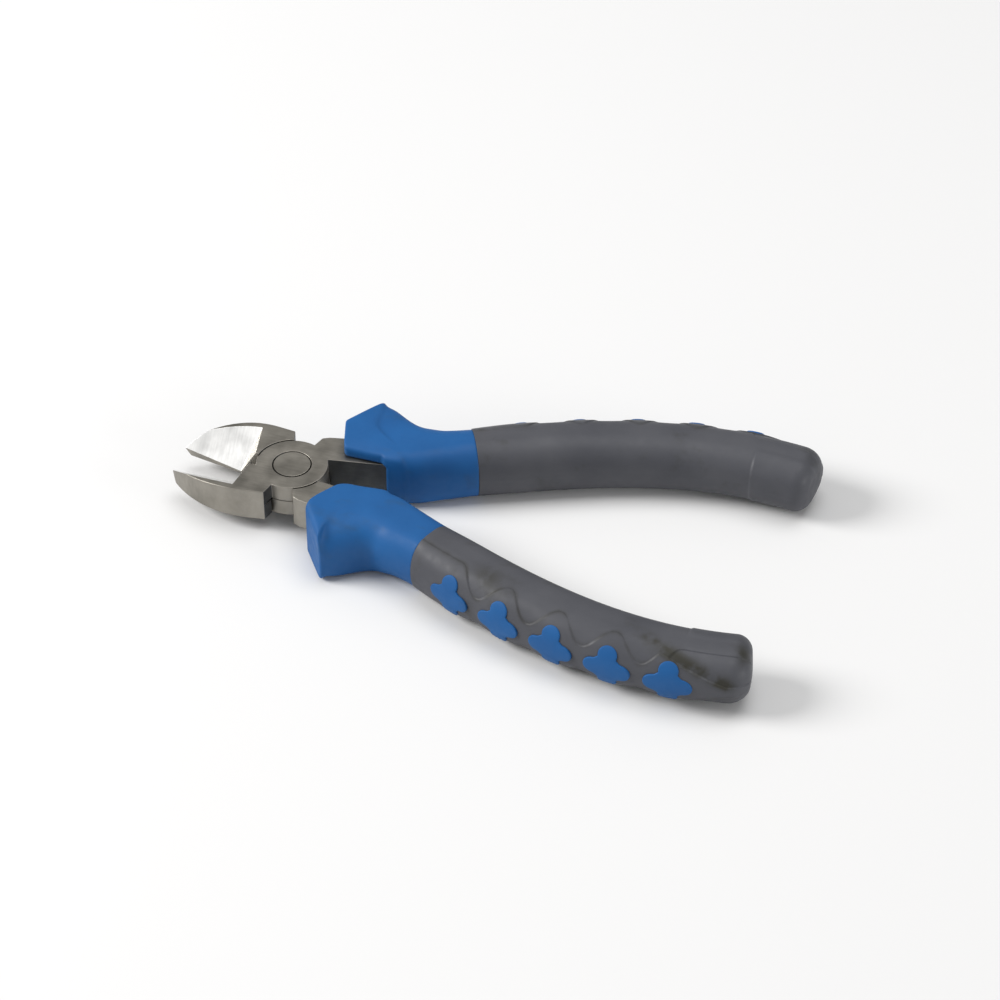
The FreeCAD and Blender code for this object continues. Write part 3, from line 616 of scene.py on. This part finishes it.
def noise(nodes, links, scale, detail=3.0, stretch=(1.0, 1.0, 1.0), roughness=0.5):
    """Noise in the object's own coordinates, scale in features per metre."""
    coordinates = nodes.new("ShaderNodeTexCoord")
    mapping = nodes.new("ShaderNodeMapping")
    mapping.inputs["Scale"].default_value = stretch
    texture = nodes.new("ShaderNodeTexNoise")
    texture.inputs["Scale"].default_value = scale
    texture.inputs["Detail"].default_value = detail
    texture.inputs["Roughness"].default_value = roughness
    links.new(coordinates.outputs["Object"], mapping.inputs["Vector"])
    links.new(mapping.outputs["Vector"], texture.inputs["Vector"])
    return texture.outputs["Fac"]


def ramp(nodes, links, source, stops):
    node = nodes.new("ShaderNodeValToRGB")
    while len(node.color_ramp.elements) < len(stops):
        node.color_ramp.elements.new(0.5)
    for element, (position, colour) in zip(node.color_ramp.elements, stops):
        element.position = position
        element.color = (*colour, 1.0)
    links.new(source, node.inputs["Fac"])
    return node.outputs["Color"]


def mix(nodes, links, kind, factor, first, second):
    node = nodes.new("ShaderNodeMix")
    node.data_type = "RGBA"
    node.blend_type = kind
    # inputs 6 and 7 and output 2 are the colour ones
    sockets = (node.inputs["Factor"], node.inputs[6], node.inputs[7])
    for socket, value in zip(sockets, (factor, first, second)):
        if isinstance(value, bpy.types.NodeSocket):
            links.new(value, socket)
        elif isinstance(value, tuple):
            socket.default_value = (*value, 1.0)
        else:
            socket.default_value = value
    return node.outputs[2]


def grey(value):
    return (value, value, value)


def bump(nodes, links, heights):
    """Bumps laid one over the other: (source, strength, distance in millimetres)."""
    normal = None
    for source, strength, distance in heights:
        node = nodes.new("ShaderNodeBump")
        node.inputs["Strength"].default_value = strength
        node.inputs["Distance"].default_value = distance * MM
        links.new(source, node.inputs["Height"])
        if normal:
            links.new(normal, node.inputs["Normal"])
        normal = node.outputs["Normal"]
    return normal


def plastic(name, dark, light, rough, dirt, dirt_amount):
    """Moulded plastic: a two-tone colour, dirt in spots and where "grime" says, and a fine grain."""
    material, nodes, links = new_material(name)
    shader = nodes["Principled BSDF"]
    broad = noise(nodes, links, scale=60, detail=4)
    fine = noise(nodes, links, scale=2600, detail=2)
    marks = noise(nodes, links, scale=95, detail=6, stretch=(1.0, 1.6, 1.0), roughness=0.62)
    tone = ramp(nodes, links, broad, [(0.3, dark), (0.7, light)])
    spots = ramp(nodes, links, marks, [(0.56, grey(0.0)), (0.72, grey(dirt_amount))])
    colour = mix(nodes, links, "MIX", spots, tone, dirt)
    grooves = nodes.new("ShaderNodeAttribute")
    grooves.attribute_name = "grime"
    patches = noise(nodes, links, scale=210, detail=5)
    patchy = ramp(nodes, links, patches, [(0.36, grey(0.15)), (0.56, grey(1.0))])
    grubby = mix(nodes, links, "MULTIPLY", 1.0, grooves.outputs["Color"], patchy)
    colour = mix(nodes, links, "MIX", grubby, colour, dirt)
    links.new(colour, shader.inputs["Base Color"])
    sheen = noise(nodes, links, scale=420, detail=5)
    gloss = ramp(nodes, links, sheen, [(0.3, grey(rough - 0.06)), (0.7, grey(rough + 0.07))])
    links.new(gloss, shader.inputs["Roughness"])
    shader.inputs["Specular IOR Level"].default_value = 0.32
    coarse = noise(nodes, links, scale=700, detail=3)
    normal = bump(nodes, links, [(fine, 0.25, 0.03), (coarse, 0.2, 0.04)])
    links.new(normal, shader.inputs["Normal"])
    return material


def steel(name, dark, light, rough, stretch, scratch):
    """Ground steel: blotched in tone and gloss, with grinding lines along the axes of small stretch."""
    material, nodes, links = new_material(name)
    shader = nodes["Principled BSDF"]
    shader.inputs["Metallic"].default_value = 1.0
    grind = noise(nodes, links, scale=1500, detail=4, stretch=stretch, roughness=0.6)
    blotch = noise(nodes, links, scale=140, detail=5)
    tone = ramp(nodes, links, blotch, [(0.3, dark), (0.7, light)])
    lines = ramp(nodes, links, grind, [(0.3, grey(0.86)), (0.65, grey(1.0))])
    links.new(mix(nodes, links, "MULTIPLY", 1.0, tone, lines), shader.inputs["Base Color"])
    gloss = ramp(nodes, links, blotch, [(0.3, grey(rough - 0.06)), (0.7, grey(rough + 0.08))])
    links.new(gloss, shader.inputs["Roughness"])
    coarse = noise(nodes, links, scale=900, detail=4)
    normal = bump(nodes, links, [(grind, scratch, 0.02), (coarse, 0.15, 0.03)])
    links.new(normal, shader.inputs["Normal"])
    return material


GREY = plastic("grey_moulding", dark=(0.060, 0.062, 0.073), light=(0.080, 0.082, 0.093),
               rough=0.52, dirt=(0.030, 0.029, 0.022), dirt_amount=0.35)
BLUE = plastic("blue_moulding", dark=(0.0045, 0.078, 0.250), light=(0.0075, 0.100, 0.305),
               rough=0.58, dirt=(0.020, 0.060, 0.110), dirt_amount=0.35)
FORGED = steel("ground_head", dark=(0.262, 0.247, 0.216), light=(0.375, 0.353, 0.312),
               rough=0.42, stretch=(0.15, 1.0, 0.15), scratch=0.25)
# near-white base colour: a painted reflection of the white surroundings on the jaws' ground bevels
REFLECTION_PAINTED_BEVEL = steel("ground_bevel_painted_reflection", dark=(0.78, 0.78, 0.77), light=(0.90, 0.90, 0.89),
               rough=0.46, stretch=(1.0, 0.12, 0.12), scratch=0.35)
# near-black steel: painted shade in the rivet's chamfer ring
SHADED = steel("painted_shade_chamfer", dark=(0.012, 0.012, 0.011), light=(0.03, 0.028, 0.025),
               rough=0.7, stretch=(1.0, 1.0, 1.0), scratch=0.3)
# darkened steel: painted shade on the jaw heel's back wall and on the shank's inner side walls
SHADE_PAINTED_WALL = steel("painted_shade_wall", dark=(0.11, 0.115, 0.12), light=(0.20, 0.205, 0.20),
              rough=0.5, stretch=(0.3, 0.3, 1.0), scratch=0.3)


# ---------------------------------------------------------------- steel pieces

# where the finishes, the painted shade and the painted reflection change, in millimetres from the pivot
BEVEL_END_X = -11.0
RIVET_EDGE_RAD = 5.6
HEEL_TO_X = -2.0
SHANK_FROM_X = 8.5
# how a face leans, as the size of a normal's part along an axis
WALL_RISE = 0.2
BEVEL_RISE, BEVEL_LEAN = 0.5, 0.3
EASED_RISE = (0.3, 0.95)
HEEL_LOOK_BACK = 0.6
LOOK_INWARD = 0.5


def steel_finish_or_painted_light(centre, normal):
    """A face's material, told by its place from the pivot and its direction: plain ground steel, a
    painted reflection on the bevels, and painted shade on the rivet's chamfer and on the shaded walls.
    """
    wall = abs(normal.z) < WALL_RISE
    eased = EASED_RISE[0] < abs(normal.z) < EASED_RISE[1]
    inward = normal.y * centre.y < -LOOK_INWARD * abs(centre.y)
    # bevel faces on the jaws take the painted reflection
    if centre.x < BEVEL_END_X and normal.z > BEVEL_RISE and abs(normal.y) > BEVEL_LEAN:
        return REFLECTION_PAINTED_BEVEL
    # eased faces round the rivet take the painted shade
    if math.hypot(centre.x, centre.y) < RIVET_EDGE_RAD and eased:
        return SHADED
    # the jaw heel's back wall takes the painted shade
    if centre.x < HEEL_TO_X and wall and normal.x > HEEL_LOOK_BACK:
        return SHADE_PAINTED_WALL
    # the shank's inward-facing walls take the painted shade
    if SHANK_FROM_X < centre.x and wall and inward:
        return SHADE_PAINTED_WALL
    return FORGED


def dress_steel(node):
    """Gives each face its material (ground steel, painted shade, painted reflection), and eases sharp
    edges with a fine bevel.
    """
    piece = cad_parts[node]
    mesh = piece.data
    mesh.materials.clear()
    finishes_and_painted_light = (FORGED, REFLECTION_PAINTED_BEVEL, SHADED, SHADE_PAINTED_WALL)
    for material in finishes_and_painted_light:
        mesh.materials.append(material)
    for face in mesh.polygons:
        face_material = steel_finish_or_painted_light((face.center - PIVOT) / MM, face.normal)
        face.material_index = finishes_and_painted_light.index(face_material)
    weld = piece.modifiers.new("weld", "WELD")
    weld.merge_threshold = 0.01 * MM
    flat = piece.modifiers.new("flat", "DECIMATE")
    flat.decimate_type = "DISSOLVE"
    flat.angle_limit = math.radians(0.5)
    ease = piece.modifiers.new("ease", "BEVEL")
    ease.width = 0.18 * MM
    ease.segments = 2
    ease.limit_method = "ANGLE"
    ease.angle_limit = math.radians(25)
    ease.use_clamp_overlap = False
    ease.harden_normals = True
    piece.modifiers.new("normals", "WEIGHTED_NORMAL")
    mesh.shade_smooth()


# ---------------------------------------------------------------- stage

# the camera and the point it looks at, in millimetres from the pivot
CAMERA_FROM = (260.2, -676.7, 631.5)
CAMERA_AIM = (56.66, 12.39, -4.70)
CAMERA_LENS, SENSOR_WIDTH = 123.8, 36.0
# stage, in metres
FLOOR_HALF, FLOOR_TONE, FLOOR_ROUGH = 3.0, 0.78, 0.9
SKY_STRENGTH = 0.38


def make_camera():
    camera = bpy.data.objects.new("camera", bpy.data.cameras.new("camera"))
    bpy.context.scene.collection.objects.link(camera)
    camera.location = PIVOT + Vector(CAMERA_FROM) * MM
    aim = PIVOT + Vector(CAMERA_AIM) * MM
    camera.rotation_euler = (aim - camera.location).to_track_quat("-Z", "Y").to_euler()
    camera.data.lens = CAMERA_LENS
    camera.data.sensor_width = SENSOR_WIDTH
    bpy.context.scene.camera = camera


def make_light(name, position, size, power, colour):
    """A round lamp that looks at the origin; position and size in metres, power in watts."""
    data = bpy.data.lights.new(name, "AREA")
    data.shape = "DISK"
    data.size = size
    data.energy = power
    data.color = colour
    light = bpy.data.objects.new(name, data)
    bpy.context.scene.collection.objects.link(light)
    light.location = position
    light.rotation_euler = (-Vector(position)).to_track_quat("-Z", "Y").to_euler()


def make_stage():
    mesh = bpy.data.meshes.new("floor")
    corners = [(-1, -1), (1, -1), (1, 1), (-1, 1)]
    mesh.from_pydata([(x * FLOOR_HALF, y * FLOOR_HALF, 0) for x, y in corners], [], [(0, 1, 2, 3)])
    floor = bpy.data.objects.new("floor", mesh)
    bpy.context.scene.collection.objects.link(floor)
    material, nodes, _ = new_material("pale_table")
    nodes["Principled BSDF"].inputs["Base Color"].default_value = (*grey(FLOOR_TONE), 1.0)
    nodes["Principled BSDF"].inputs["Roughness"].default_value = FLOOR_ROUGH
    mesh.materials.append(material)
    world = bpy.data.worlds.new("studio")
    world.use_nodes = True
    background = world.node_tree.nodes["Background"]
    background.inputs["Color"].default_value = (1.0, 1.0, 1.0, 1.0)
    background.inputs["Strength"].default_value = SKY_STRENGTH
    bpy.context.scene.world = world
    bpy.context.scene.view_settings.view_transform = "Standard"
    make_light("key", (-1.36, -0.34, 0.97), size=0.8, power=26.0, colour=(1.0, 0.99, 0.98))
    make_light("top", (0.2, 0.3, 1.6), size=1.2, power=10.0, colour=grey(1.0))
    make_light("right", (1.5, -0.3, 0.35), size=0.6, power=7.0, colour=grey(1.0))


make_camera()
make_stage()
for half, side in HALVES:
    make_core(half, side, GREY)
    make_guard(half, side, BLUE)
    for number in range(len(PAD_X)):
        make_pad(half, side, number, BLUE)
    dress_steel(half + "_lever")
dress_steel("pivot_rivet")
